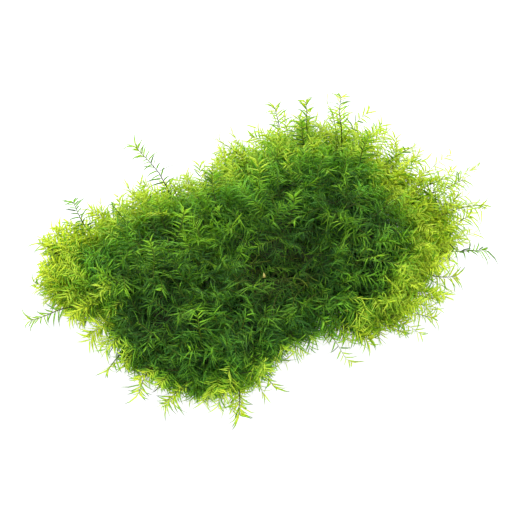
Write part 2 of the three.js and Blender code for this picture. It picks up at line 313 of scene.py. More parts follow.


# Felt of old stems: the dead, matted brown-green growth, dark as painted shade deep in the tangle, that
# shows only as the dark between the shoots.
def oldStemFelt():
    material = bpy.data.materials.new("oldStemFelt")
    tree = emptyTree(material)
    place = addNode(tree, "TexCoord").outputs["Object"]
    streaks = addNode(tree, "TexNoise", links={"Vector": place}, values={
        "Scale": 1 / (feltLook["clumpWidth"] * mm), "Detail": 4.0, "Roughness": 0.65,
        "Distortion": 1.5})
    colour = addNode(tree, "ValToRGB", links={0: streaks}, stops=feltLook["colours"])
    bump = addNode(tree, "Bump", links={"Height": streaks}, values={
        "Strength": 0.8, "Distance": feltLook["stemWidth"] * mm})
    shader = addNode(tree, "BsdfPrincipled", values={"Roughness": feltLook["roughness"]},
                     links={"Base Color": colour, "Normal": bump})
    addNode(tree, "OutputMaterial", links={"Surface": shader})
    return material


leafMaterial = wetMossLeaf()
feltMaterial = oldStemFelt()
print("materials: made")


# Shoots

leafForm = {
    "width": 0.33,
    "keel": 0.09,  # depth of the fold along the middle
    "rings": [(0.22, 1.0), (0.64, 0.8)],  # share of the length, share of the width
    "plainRings": [(0.4, 1.0)],
    "crowding": 1.25,  # above 1, leaves stand closer together towards the tip
    "sweep": (56, 26), "sweepPower": 1.3,  # degrees from the stem, at the shoot's foot and tip
    "footSize": 0.45, "fullFrom": 0.3,  # the lowest leaves' size, and how far up they are full size
    "leastSize": 0.3,
    "curl": 0.36,  # how far a leaf's tip curves away, as a share of its length
    "curlWay": (0.6, -0.5),  # how much of that is aside, and how much is along the stem
    "droop": 0.34,  # and how far an old one hangs
    "droopAge": (1.15, 0.2),  # the age at which none would hang, and the least that any does
    "leastBend": 0.4,  # of curl and droop
    "darkShare": 0.1, "darker": 0.45,  # leaves that are old for their place, and by how much
    "newerUp": (0.3, 1.5, 0.35),  # leaves are newer up the shoot: how much, power, and middle
    "tipFade": 0.5,  # how much new leaves darken towards their points
    "fadeAlong": (0.4, 1.0),  # and from where to where along them
    # steps at a leaf's foot, at each ring's two edges and keel, and at its point
    "ageSteps": (-0.06, (0.0, 0.0, -0.05), 0.07),
    "hueSteps": (0.0, (0.012, -0.012, 0.0), 0.0),
    # standard deviations from leaf to leaf
    "spread": {"sweep": 10, "size": 0.12, "out": 0.16, "roll": 0.45, "curlOut": 0.5, "curl": 0.8,
               "droop": 0.7, "age": 0.04},
}
stemForm = {
    "radius": 0.13,
    "tipShare": 0.4,  # of the radius, at the tip
    "rings": 7,
    "bendPower": 1.4, "sway": 0.16, "swayTurns": 1.2, "newerUp": 0.35,
    "sideHues": [0.9, 0.94, 0.97],  # v in the colour map, on the three sides and at the two ends
    "endHues": [0.92, 0.92],
}


# Centre lines of many shoots at once. Each turns from its first direction towards bend, by an angle
# that grows as a power of the way along it, sways from side to side, and is added up from short
# straight steps. Its flat side turns with it and twists slowly. The set s holds arrays with one row
# for each shoot, and the results have one for each shoot and place along it.
def centreLines(s, way):
    along, bend, side = (s[key][:, None] for key in ("along", "bend", "side"))
    turn = s["bendAngle"][:, None, None] * way[None, :, None] ** stemForm["bendPower"]
    sway = stemForm["sway"] * np.sin(
        2 * np.pi * (stemForm["swayTurns"] * way[None] + s["phase"][:, None]))[..., None]
    tangent = unit(np.cos(turn) * along + np.sin(turn) * bend + sway * side)
    across = side + (side * bend).sum(-1, keepdims=True) * (
        (np.cos(turn) - 1) * bend - np.sin(turn) * along)
    across = unit(across - (across * tangent).sum(-1, keepdims=True) * tangent)
    face = np.cross(tangent, across)
    spin = s["twist"][:, None, None] * way[None, :, None]
    across, face = (np.cos(spin) * across + np.sin(spin) * face,
                    np.cos(spin) * face - np.sin(spin) * across)
    steps = (tangent[:, 1:] + tangent[:, :-1]) / 2 * np.diff(way)[None, :, None]
    place = s["root"][:, None] + s["length"][:, None, None] * np.concatenate(
        [np.zeros((len(steps), 1, 3)), np.cumsum(steps, axis=1)], axis=1)
    return place, tangent, across, face


# Two triangles of a three-sided tube: its side from corner p to corner q, between the ring that starts
# at point r and the next ring.
def sideFaces(r, p, q):
    return [(r + p, r + q, r + 3 + q), (r + p, r + 3 + q, r + 3 + p)]


# Three-sided tubes along centre lines, closed to a point at both ends.
def closedTubes(place, across, face, radius):
    tube = np.stack([place[:, 1:-1] + radius[:, 1:-1, None] * (
        math.cos(k) * across[:, 1:-1] + math.sin(k) * face[:, 1:-1])
        for k in np.radians([0, 120, 240])], axis=2).reshape(len(place), -1, 3)
    end = tube.shape[1]
    faces = []
    for p, q in ((0, 1), (1, 2), (2, 0)):
        for r in range(0, end - 3, 3):
            faces += sideFaces(r, p, q)
        faces += [(end, q, p), (end - 3 + p, end - 3 + q, end + 1)]
    return np.concatenate([tube, place[:, :1], place[:, -1:]], axis=1), np.array(faces)


# The colour map's values on such tubes: newer along the way, and stem above the greens.
def tubeUv(age, way):
    u = np.concatenate([np.repeat(way[1:-1], 3), way[[0, -1]]])
    u = np.clip(age[:, None] + stemForm["newerUp"] * u[None], *newAndLitThroughLimits)
    v = np.concatenate([np.tile(stemForm["sideHues"], len(way) - 2), stemForm["endHues"]])
    return np.stack([u, np.broadcast_to(v, u.shape)], -1)


# Grows many shoots at once along their centre lines. The leaves stand by turns on the two sides: each
# is a bent three-sided sliver with one or two rings between a point at the stem and a point at its
# tip. Returns points and uv as (shoot, point) arrays, and the faces of one shoot.
def growShoots(s, leaves, bare, rings, crowding=leafForm["crowding"]):
    count = len(s["root"])
    spaced = (np.arange(leaves) + 0.5) / leaves
    way = np.concatenate([[0], bare + (1 - bare) * (1 - (1 - spaced) ** crowding), [1]])
    leafy = (way[1:-1] - bare)[None, :, None] / (1 - bare)
    place, tangent, across, face = centreLines(s, way)

    def noise(key):
        return random.normal(0, leafForm["spread"][key], (count, leaves))[..., None]

    def steps(key):
        foot, ring, point = leafForm[key]
        return np.array([foot, *ring * len(rings), point])

    # the leaves, from sweeping wide and short at the foot to lying close at the tip
    t, a, f, base = (array[:, 1:-1] for array in (tangent, across, face, place))
    sweep = np.radians(mixed(leafForm["sweep"], leafy ** leafForm["sweepPower"]) + noise("sweep"))
    hand = np.where(np.arange(leaves) % 2, 1.0, -1.0)[None, :, None]
    uneven = s["uneven"][:, None, None]
    full = mixed((leafForm["footSize"], 1.0), smooth(0, leafForm["fullFrom"], leafy))
    size = s["leafLength"][:, None, None] * full * np.maximum(
        1 + noise("size") * uneven, leafForm["leastSize"])
    pointing = unit(np.cos(sweep) * t + np.sin(sweep) * hand * a + noise("out") * f)
    width = unit(np.cross(f, pointing))
    roll = noise("roll")
    width = np.cos(roll) * width + np.sin(roll) * np.cross(pointing, width)
    normal = np.cross(pointing, width)
    aside, onward = leafForm["curlWay"]
    curl = unit(aside * hand * a + onward * t - noise("curlOut") * f) * uneven ** 0.5 * (
        leafForm["curl"] * (leafForm["leastBend"] + np.abs(noise("curl"))))
    noDroopAge, leastDroop = leafForm["droopAge"]
    droop = leafForm["droop"] * np.clip(noDroopAge - s["age"], leastDroop, 1)[:, None]
    curl[..., 2] -= droop * (leafForm["leastBend"] + np.abs(noise("droop")))[..., 0]
    broad = leafForm["width"] * s["breadth"][:, None, None]

    def leafPoint(share, wide=0.0, deep=0.0):
        return (base + size * (share * pointing + share ** 2 * curl) + broad * (wide / 2) * width
                - leafForm["keel"] * deep * normal)

    points = [leafPoint(0.0)]
    for share, wide in rings:
        points += [leafPoint(share, wide), leafPoint(share, -wide), leafPoint(share, 0.0, 1.0)]
    points = np.stack(points + [leafPoint(1.0)], axis=2)
    perLeaf = points.shape[2]
    last = perLeaf - 4
    leafFaces = [(0, 2, 1), (0, 3, 2), (0, 1, 3)]
    for r in range(1, last, 3):
        leafFaces += sideFaces(r, 0, 1) + sideFaces(r, 1, 2) + sideFaces(r, 2, 0)
    leafFaces += [(last, last + 1, last + 3), (last + 1, last + 2, last + 3),
                  (last + 2, last, last + 3)]

    # their colours
    dark = random.random((count, leaves)) < leafForm["darkShare"]
    upShare = leafy[..., 0]
    newer, power, middle = leafForm["newerUp"]
    leafAge = (mixed((s["age"][:, None], s["tipAge"][:, None]), upShare)
               * (1 - leafForm["darker"] * dark)
               + newer * (upShare ** power - middle) + noise("age")[..., 0])
    shares = np.array([0.0] + [share for share, _ in rings for _ in range(3)] + [1.0])
    fade = s["tipFade"][:, None, None] * smooth(*leafForm["fadeAlong"], shares)
    u = np.clip(leafAge[..., None] * (1 - fade * leafAge[..., None]) + steps("ageSteps"),
                *newAndLitThroughLimits)
    v = np.clip(s["hue"][:, None, None] + steps("hueSteps") + 0 * u, *leafLook["hueLimits"])

    # the stem goes through some of the same places
    picks = np.concatenate([[0], np.linspace(1, leaves, stemForm["rings"]).round().astype(int), [-1]])
    radius = s["stemRadius"][:, None] * (1 - (1 - stemForm["tipShare"]) * way[picks])
    stemPoints, stemFaces = closedTubes(place[:, picks], across[:, picks], face[:, picks], radius)

    allPoints = np.concatenate([points.reshape(count, -1, 3), stemPoints], axis=1)
    allUv = np.concatenate([np.stack([u, v], -1).reshape(count, -1, 2),
                            tubeUv(s["stemAge"], way[picks])], axis=1)
    leafAt = np.arange(0, leaves * perLeaf, perLeaf)[:, None, None]
    oneShoot = np.concatenate([(np.array(leafFaces)[None] + leafAt).reshape(-1, 3),
                               stemFaces + leaves * perLeaf])
    return allPoints, allUv, oneShoot


# Leaves that would pass the table lie on it: below bed, heights are squeezed into the last
# millimetre by an exponential, so that no leaf is pressed quite flat.
def liftOffTable(points, bed=1.2, lowest=0.12):
    z = points[:, 2]
    room = bed - lowest
    points[:, 2] = np.where(z < bed, lowest + room * np.exp((z - bed) / room), z)
    return points


def makeGrowth(name, grown, **place):
    points, uv, one = grown
    count, each = points.shape[:2]
    faces = one[None] + np.arange(count)[:, None, None] * each
    makePiece(name, liftOffTable(points.reshape(-1, 3)), faces.reshape(-1, 3), leafMaterial,
              uv.reshape(-1, 2), **place)


# Growth comes in tufts, each with some shoots that fan out from one place under the skin. The lean is
# from the skin's normal to the way the mat spreads, and stray is how far that way wanders. Lift turns
# a tuft upward on the open sides. Depth is below the skin, and uneven is how much it differs from tuft
# to tuft. Power is 2 where tufts cover an area, and 1 where they follow the rim. Broader is for the
# leaves, and reach is added to the fringe's own, both on the near side and on the open sides. Missing
# is a factor on the rim's share, and long only thins out tufts where the fringe's reach is less. Turn
# is how much the flat side strays from facing up, and apart is how far the roots of a tuft part.
plainTuft = {"each": 1, "power": 2, "broader": (1.0, 1.0), "lift": (0.0, 0.0), "reach": (0.0, 0.0),
             "age": 0.0, "missing": 1, "longOnly": None, "turn": 0.6, "apart": 0.9,
             "rings": "rings", "pieces": 1}
# A kind's age is added to its tufts': painted light on the tufts over the rest and painted shade on
# those under them.
tufts = {
    "crown": {"count": 215, "each": 6, "girth": (0.0, 0.92), "lean": (0.0, 0.6),
              "stray": 1.2, "fan": 0.33, "depth": (6.0, 9.0), "length": (9.5, 13.0), "uneven": 1.2,
              "bend": 0.95, "age": -0.03, "leafLength": (3.0, 4.2), "leaves": 18, "pieces": 3},
    "top": {"count": 210, "girth": (0.0, 0.97), "lean": (0.3, 0.8),
            "stray": 2.5, "fan": 0.2, "depth": (2.5, 5.0), "length": (10.0, 13.5), "uneven": 0.8,
            "bend": 0.8, "age": 0.07, "leafLength": (3.1, 4.3), "leaves": 17},
    "rim": {"count": 345, "each": 3, "power": 1, "girth": (0.84, 1.55),
            "lean": (0.2, 0.85), "lift": (0.0, 0.5), "broader": (1.0, 1.1),
            "stray": 0.5, "fan": 0.3, "depth": (4.0, 8.0), "length": (9.5, 13.5), "uneven": 0.8,
            "bend": 0.5, "leafLength": (2.8, 3.9), "leaves": 18, "pieces": 2},
    "foot": {"count": 500, "each": 2, "power": 1, "girth": (1.1, 1.75),
             "lean": (0.85, 1.0), "broader": (1.15, 1.6), "reach": (1.5, 0.0), "missing": 0,
             "stray": 0.5, "fan": 0.22, "depth": (0.5, 4.0), "length": (6.5, 9.5), "uneven": 0.5,
             "bend": 0.4, "leafLength": (2.4, 3.3), "leaves": 15, "rings": "plainRings"},
    "spray": {"count": 110, "each": 3, "power": 1, "girth": (0.8, 1.3),
              "lean": (0.45, 0.9), "lift": (0.5, 1.2), "broader": (1.0, 1.2), "reach": (0.0, -1.0),
              "longOnly": (4, 9),
              "stray": 0.35, "fan": 0.25, "depth": (3.0, 6.0), "length": (14.0, 19.0), "uneven": 0.5,
              "bend": 0.6, "leafLength": (2.8, 3.8), "leaves": 24},
    "over": {"count": 70, "girth": (0.05, 0.95), "lean": (0.66, 0.85),
             "stray": 1.6, "fan": 0.1, "depth": (-0.5, 1.5), "length": (10.0, 15.0), "uneven": 0.3,
             "bend": 0.5, "age": 0.12, "leafLength": (2.8, 4.0), "leaves": 22},
    "under": {"count": 430, "girth": (0.0, 0.97), "lean": (0.6, 0.9),
              "stray": 2.5, "fan": 0.2, "depth": (3.0, 5.5), "length": (8.0, 11.0), "uneven": 0.5,
              "bend": 0.5, "age": -0.06, "leafLength": (2.8, 3.9), "leaves": 18,
              "rings": "plainRings"},
}
tone = {
    "age": (0.25, 0.9), "hue": (0.33, 0.64),  # of old and of new growth
    "betweenHue": -0.22,  # added where growth is halfway between old and new
    "tuftAge": 0.06, "tuftHue": 0.15,  # standard deviations from tuft to tuft
    "highAge": 0.03,  # newer for each mm that a tuft stands higher: painted light on high tufts, painted shade on low ones
    # patches of lighter or cooler growth, and painted light on the right rim at x 54: x, y, reach, age,
    # hue
    "patches": [(33, 14, 9, 0.1, -0.3), (-12, 10, 7, 0.14, 0.1), (-24, 9, 6, 0.06, 0.05),
                (15, -20, 7, 0.08, 0.1), (-28, -16, 8, 0.06, -0.1), (22, 1, 9, 0.07, 0.0),
                (10, 24, 6, 0.06, 0.0), (28, 22, 6, -0.16, -0.1), (54, -20, 10, 0.1, 0.0),
                (-29, 23, 8, 0.14, -0.15), (6, 14, 7, 0.08, -0.1), (28, -10, 8, 0.04, -0.05)],
}
hollow = {"place": (-4, -11), "bareReach": 4.0, "hookReach": 10.0}
placing = {"steps": 721, "angleSpread": 0.03, "girthSpread": 0.015, "girthLimits": (0.02, 1.6)}


# Even places on the skin: the golden ratio's multiples spread the angles, each angle weighted by how
# much of the mat lies that way, and the girth goes as a root of the count.
def evenPlaces(form):
    angles = np.linspace(-np.pi, np.pi, placing["steps"])
    weight = np.cumsum(outlineRadius(angles) ** form["power"])
    weight = (weight - weight[0]) / (weight[-1] - weight[0])
    serial = np.arange(form["count"])
    angle = np.interp((serial * goldenShare + 0.5) % 1, weight, angles)
    first, last = (g ** form["power"] for g in form["girth"])
    girth = (first + (last - first) * (serial + 0.5) / form["count"]) ** (1 / form["power"])
    angle = angle + random.normal(0, placing["angleSpread"], form["count"])
    girth = girth + random.normal(0, placing["girthSpread"], form["count"])
    return angle, np.clip(girth, *placing["girthLimits"])


# The far crest: looked at from the near side and from above, how high up the mat reaches at each place
# across it, and how far back that is. New growth, lit up with painted light that comes through it, goes
# down from it by these depths, wider or narrower by the table of places across, and a fading band goes
# on further. Less of it is behind the crest, and low down there growth is darkened as painted shade.
crest = {
    "way": 49, "dip": 42,  # degrees
    "growth": 5.0,  # how far growth stands out from the skin
    "step": 2.5, "halfWidth": 70,  # of the table of places across
    "noMat": (-50.0, 60.0),  # its values where there is no mat
    "topDepth": 0.3,  # growth this close to the highest is the crest
    "new": (2.5, 13.5), "fading": (12.0, 30.0), "fadingShare": 0.15,
    "wide": [(-55, 0.6), (-40, 0.8), (-30, 0.65), (-20, 0.8), (-8, 1.0), (3, 1.25), (10, 1.1),
             (17, 0.75), (30, 0.7), (45, 0.85)],
    "behind": (0.5, 9.0), "behindShare": 0.85,
    "shaded": (2.0, 10.0), "shadedHeight": (3.0, 12.0), "shadedShare": 0.65,
}


def fromNearSide(place):
    x, y, z = np.moveaxis(place, -1, 0)
    way, dip = math.radians(crest["way"]), math.radians(crest["dip"])
    across = x * math.sin(way) - y * math.cos(way)
    back = x * math.cos(way) + y * math.sin(way)
    return across, back, back * math.sin(dip) + z * math.cos(dip)


def crestTable():
    skin, normal = skinGrid(np.linspace(0, 2 * np.pi, 360), np.linspace(0.1, 1.0, 60))
    across, back, rise = (values.ravel() for values in fromNearSide(skin + crest["growth"] * normal))
    half, step = crest["halfWidth"], crest["step"]
    slots = np.arange(-half, half, step)
    slot = np.clip(((across + half) / step).astype(int), 0, len(slots) - 1)
    highest, nearest = (np.full(len(slots), value) for value in crest["noMat"])
    np.maximum.at(highest, slot, rise)
    atTop = rise > highest[slot] - crest["topDepth"]
    np.minimum.at(nearest, slot[atTop], back[atTop])
    return slots + step / 2, highest, nearest


crestAcross, crestRise, crestBack = crestTable()


# Newness, with painted light where light comes through thin growth: at the rim, over the far crest and
# close to the table. Low down behind the crest, painted shade darkens it.
def newAndLitThroughAt(place):
    angle, inward = fromRim(place[..., 0], place[..., 1])
    depth, height = atHeading("newDepth", angle), atHeading("newHeight", angle)
    leastHalf, moreHalf = rimForm["depthBlur"]
    half = leastHalf + moreHalf * np.maximum(depth, 0)
    atRim = 1 - smooth(depth - half, depth + half, inward)
    across, back, rise = fromNearSide(place)
    wide = np.interp(across, *np.transpose(crest["wide"]))
    down = (np.interp(across, crestAcross, crestRise) - rise) / wide
    atCrest = mixed((1 - smooth(*crest["new"], down), 1 - smooth(*crest["fading"], down)),
                    crest["fadingShare"])
    behind = back - np.interp(across, crestAcross, crestBack)
    atCrest = atCrest * (1 - crest["behindShare"] * smooth(*crest["behind"], behind))
    blur = rimForm["heightBlur"]
    low = (1 - smooth(height - blur, height + blur, place[..., 2])) * (
        1 - smooth(*rimForm["lowWithin"], inward))
    # painted shade: growth low down behind the crest is darkened
    shaded = smooth(*crest["shaded"], behind) * (1 - smooth(*crest["shadedHeight"], place[..., 2]))
    return np.maximum(np.maximum(atRim, atCrest), low) * (1 - crest["shadedShare"] * shaded)


# What all the mat's shoots share. Spreads are standard deviations, and angles are in radians.
shootForm = {
    "lowestRoot": 0.8,
    "bareShare": 0.12,  # of the length, before the first leaf
    "turnSpread": 0.25, "tiltSpread": 0.5, "bendSpread": 0.45, "twistSpread": 0.6, "hueSpread": 0.06,
    "ageAt": 0.6,  # the share of its length at which a shoot's newness is read
    "tipAgeOn": (0.35, 0.7),  # and how far on the tip's is, with how much of the bend in its way
    "hookBend": 0.9, "hookShorter": 0.25, "hookNarrower": 0.3,  # at the hollow
    "breadth": (0.8, 1.15), "newBroader": 0.4,
    "stemAge": (0.62, -0.05),  # the stem's share of its leaves' age, and what is added to it
    "newThinner": 0.25,
}


# Turns shoots that are set out by root, direction, length and the way up into a whole set: hooked where
# the hollow is, and as new or old, with painted light and shade, and as warm or cool a green as their
# place asks for.
def shootSet(form, root, along, above, length, ageStep, hueStep):
    count = len(root)
    root[:, 2] = np.maximum(root[:, 2], shootForm["lowestRoot"])
    side = unit(np.cross(along, above + scatter(shootForm["turnSpread"], count)))
    bend = tilted(np.cross(along, side), side, shootForm["tiltSpread"])
    middle = root + along * length[:, None] * shootForm["ageAt"]
    farOn, bentBy = shootForm["tipAgeOn"]
    far = middle + (along + bentBy * bend) * length[:, None] * farOn
    fromHollow = np.hypot(middle[:, 0] - hollow["place"][0], middle[:, 1] - hollow["place"][1])
    hook = 1 - smooth(hollow["bareReach"], hollow["hookReach"], fromHollow)
    newAndLitThrough = newAndLitThroughAt(middle)
    broader = mixed(form["broader"], openSide(np.arctan2(middle[:, 1], middle[:, 0])))
    age = mixed(tone["age"], newAndLitThrough) + ageStep
    tipAge = mixed(tone["age"], newAndLitThroughAt(far)) + ageStep
    hue = mixed(tone["hue"], newAndLitThrough) + hueStep
    hue = hue + tone["betweenHue"] * 4 * newAndLitThrough * (1 - newAndLitThrough)
    for x, y, reach, addAge, addHue in tone["patches"]:
        near = np.exp(-((middle[:, 0] - x) ** 2 + (middle[:, 1] - y) ** 2) / (2 * reach ** 2))
        age, tipAge, hue = age + addAge * near, tipAge + addAge * near, hue + addHue * near
    stemShare, stemStep = shootForm["stemAge"]
    s = {
        "root": root, "along": along, "side": side, "bend": bend, "length": length,
        "bendAngle": (random.normal(form["bend"], shootForm["bendSpread"], count)
                      + shootForm["hookBend"] * hook),
        "twist": random.normal(0, shootForm["twistSpread"], count), "phase": random.random(count),
        "age": age, "tipAge": tipAge, "hue": hue + random.normal(0, shootForm["hueSpread"], count),
        "leafLength": between(form["leafLength"], count) * (1 - shootForm["hookShorter"] * hook),
        "breadth": (broader * (between(shootForm["breadth"], count)
                               + shootForm["newBroader"] * newAndLitThrough)
                    * (1 - shootForm["hookNarrower"] * hook)),
        "stemAge": stemShare * age + stemStep,
        "stemRadius": stemForm["radius"] * (1 - shootForm["newThinner"] * newAndLitThrough),
        "uneven": np.ones(count), "tipFade": np.full(count, leafForm["tipFade"]),
    }
    grown = fromHollow > hollow["bareReach"]
    return {key: rows[grown] for key, rows in s.items()}


def makeShoots(name, s, form):
    order = np.argsort(np.arctan2(s["root"][:, 1], s["root"][:, 0]))
    for i, picked in enumerate(np.array_split(order, form["pieces"])):
        grown = growShoots({key: rows[picked] for key, rows in s.items()}, form["leaves"],
                           shootForm["bareShare"], leafForm[form["rings"]])
        makeGrowth("%sShoots%d" % (name, i + 1), grown)


def growTufts(kind):
    form = {**plainTuft, **tufts[kind]}
    angle, girth = evenPlaces(form)
    skin, normal = skinPoint(angle, girth), skinNormal(angle, girth)
    if form["longOnly"]:
        missing = 1 - smooth(*form["longOnly"], atHeading("reach", angle))
    else:
        missing = form["missing"] * atHeading("missing", angle) * newAndLitThroughAt(skin)
    kept = random.random(len(angle)) > missing
    angle, skin, normal = angle[kept], skin[kept], normal[kept]
    number = len(angle)
    outward = wayOut(angle + random.normal(0, form["stray"], number))
    lean = between(form["lean"], number)[:, None]
    lift = between(form["lift"], number) * openSide(angle)
    main = unit((1 - lean) * normal + lean * outward + lift[:, None] * upward)
    high = random.normal(0, form["uneven"], number)
    tuftAge = random.normal(form["age"], tone["tuftAge"], number) + tone["highAge"] * high
    tuftHue = random.normal(0, tone["tuftHue"], number)
    above = upward + scatter(form["turn"], number)

    pick = np.repeat(np.arange(number), form["each"])
    count = len(pick)
    along = unit(main[pick] + scatter(form["fan"], count))
    depth = (between(form["depth"], count) - high[pick])[:, None]
    root = skin[pick] - normal[pick] * depth + scatter(form["apart"], count)
    length = between(form["length"], count)

    # a tip past the fringe's reach is drawn in, and more at random, so that the fringe thins out
    tip = root + along * length[:, None] * rimForm["tipAt"]
    tipAngle, inward = fromRim(tip[:, 0], tip[:, 1])
    isOpen = openSide(tipAngle)
    limit = (atHeading("reach", tipAngle) + mixed(form["reach"], isOpen)
             - mixed(rimForm["fade"], isOpen) * random.random(count))
    root -= np.maximum(-inward - limit, 0)[:, None] * wayOut(tipAngle)
    makeShoots(kind, shootSet(form, root, along, above[pick], length, tuftAge[pick], tuftHue[pick]),
               form)


# The tufts whose tips stand out from the rest, where the model has its locks: a ring of them spreads
# from the rim, and a golden-angle spiral covers the crown. Sines of the count give each its own lean
# and stray. The first shoot of each lies right along its lock, and the others fan out round it.
locks = {
    "rim": 32, "crown": 34, "length": 8.0, "bare": 3.5, "buried": 0.8,
    "openWay": 40, "swing": 0.28,  # longer this way by this share, and shorter the other way
    "longWay": -8, "longPower": 4, "extra": 3.6, "lift": 0.8,  # and here longer by mm, and lifted
    # each sine's middle, size and rate
    "rimPlace": (0, 0.3, 7.3), "rimGirth": (0.965, 0.025, 4.7), "rimLean": (0.75, 0.2, 2.4),
    "rimStray": (0, 0.35, 5.1), "crownLean": (0.5, 0.15, 4.1), "crownStray": (0, 0.9, 12.9),
    "crownGirth": 0.88,
    # the shoots of a lock
    "each": 4, "fan": 0.14, "shorter": (0.8, 1.0), "apart": 0.5, "turn": 0.4, "bend": 0.35,
    "age": 0.05, "broader": (1.0, 1.0), "leafLength": (3.0, 4.1), "leaves": 19, "rings": "rings",
    "pieces": 1,
}


def lockSine(key, serial):
    middle, size, rate = locks[key]
    return middle + size * np.sin(rate * serial)


def lockPlaces():
    i, j = np.arange(locks["rim"]), np.arange(locks["crown"])
    rimAngle = 2 * np.pi * (i + lockSine("rimPlace", i)) / locks["rim"]
    crownAngle = np.mod(j * np.pi * (3 - math.sqrt(5)), 2 * np.pi)
    long = np.maximum(0, np.cos(rimAngle - math.radians(locks["longWay"]))) ** locks["longPower"]
    swing = locks["swing"] * np.cos(rimAngle - math.radians(locks["openWay"]))
    angle = np.concatenate([rimAngle, crownAngle])
    girth = np.concatenate([lockSine("rimGirth", i),
                            locks["crownGirth"] * np.sqrt((j + 0.5) / locks["crown"])])
    lean = np.concatenate([lockSine("rimLean", i), lockSine("crownLean", j)])[:, None]
    heading = angle + np.concatenate([lockSine("rimStray", i), lockSine("crownStray", j)])
    lift = np.concatenate([locks["lift"] * long, 0.0 * j])
    length = np.concatenate([locks["length"] * (1 + swing) + locks["extra"] * long,
                             locks["length"] + 0.0 * j])
    along = unit((1 - lean) * skinNormal(angle, girth) + lean * wayOut(heading, lift))
    start = skinPoint(angle, girth) - along * (locks["buried"] + locks["bare"])
    return start, along, length + locks["bare"]


def growLocks():
    start, along, length = lockPlaces()
    pick = np.repeat(np.arange(len(start)), locks["each"])
    count = len(pick)
    first = np.arange(count) % locks["each"] == 0
    spread = np.where(first, 0, locks["fan"])[:, None]
    along = unit(along[pick] + spread * scatter(1, count))
    length = length[pick] * np.where(first, 1.0, between(locks["shorter"], count))
    above = upward + scatter(locks["turn"], count)
    tuftAge = random.normal(locks["age"], tone["tuftAge"], len(start))
    tuftHue = random.normal(0, tone["tuftHue"], len(start))
    root = start[pick] + locks["apart"] * spread * scatter(1, count)
    makeShoots("lock", shootSet(locks, root, along, above, length, tuftAge[pick], tuftHue[pick]),
               locks)


growLocks()
for kindName in tufts:
    growTufts(kindName)


# Bare old stems: runners that creep along just under the tips, and, in the hollow, dead shoots that
# rise and hook over and one pale scrap. Those of the hollow are within a distance of its middle, which
# aside moves. Depth is below the skin, and rise is the share of up in their direction.
plainStem = {"within": None, "aside": (0, 0), "steps": 14, "tiltSpread": 0.6, "taper": 0.5}
stems = {
    "runner": {"count": 170, "girth": (0.05, 1.3), "power": 2, "depth": (-0.5, 4.0),
               "length": (13.0, 24.0), "radius": (0.1, 0.16), "rise": (-0.05, 0.25),
               "bend": (0.3, 1.1), "age": (0.02, 0.22)},
    "hooked": {"count": 56, "within": 8.5, "depth": (0.5, 3.5),
               "length": (6.0, 12.0), "radius": (0.1, 0.16), "rise": (0.5, 1.6),
               "bend": (1.2, 3.0), "age": (0.05, 0.28)},
    "paleScrap": {"count": 1, "within": 0.5, "aside": (-2.5, 0.8),
                  "depth": (-1.4, -1.3), "length": (1.9, 2.0), "radius": (0.5, 0.52),
                  "rise": (0.0, 0.1), "bend": (0.2, 0.3), "age": (0.98, 0.99)},
}


def growStems(kind):
    form = {**plainStem, **stems[kind]}
    count = form["count"]
    if form["within"]:
        spin, out = between((0, 2 * np.pi), count), form["within"] * np.sqrt(random.random(count))
        x, y = (middle + out * turned + aside for middle, turned, aside in zip(
            hollow["place"], (np.cos(spin), np.sin(spin)), form["aside"]))
        angle = np.arctan2(y, x)
        girth = np.hypot(x, y) / outlineRadius(angle)
    else:
        angle, girth = evenPlaces(form)
    skin, normal = skinPoint(angle, girth), skinNormal(angle, girth)
    level = wayOut(between((0, 2 * np.pi), count))
    level = unit(level - (level * normal).sum(-1, keepdims=True) * normal)
    along = unit(level + between(form["rise"], count)[:, None] * normal)
    side = unit(np.cross(along, normal))
    bend = tilted(np.cross(along, side), side, form["tiltSpread"])
    length = between(form["length"], count)
    root = skin - normal * between(form["depth"], count)[:, None]
    if not form["within"]:
        root = root - along * length[:, None] / 2
    s = {"root": root, "along": along, "side": side, "bend": bend, "length": length,
         "bendAngle": between(form["bend"], count), "twist": np.zeros(count),
         "phase": random.random(count)}
    way = np.linspace(0, 1, form["steps"])
    place, _, across, face = centreLines(s, way)
    radius = between(form["radius"], count)[:, None] * (1 - form["taper"] * way)
    points, faces = closedTubes(place, across, face, radius)
    makeGrowth(kind + "Stems", (points, tubeUv(between(form["age"], count), way), faces))


for kindName in stems:
    growStems(kindName)


# The felt of old stems and painted shade in the middle of the cushion: the same skin, drawn in, with
# its unevenness as summed sines of six sizes. The grid runs from the middle of the top round to the
# edge of the foot.
felt = {
    "inset": (7.5, 9.0),  # on the near side and on the open sides
    "drop": 5.0, "foot": 0.25, "columns": 160, "rows": 60, "depth": 0.4,
    "waves": [(0.8, 0.2), (1.1, 1.4), (1.9, 2.3), (2.7, 0.9), (4.1, 1.9), (5.3, 2.8)],  # rate and way
    "upRate": 0.7, "start": 3,  # a wave's rate upward, and its start for each radian of its way
    "finer": 0.6,  # the power of the rate by which finer waves are shallower
}


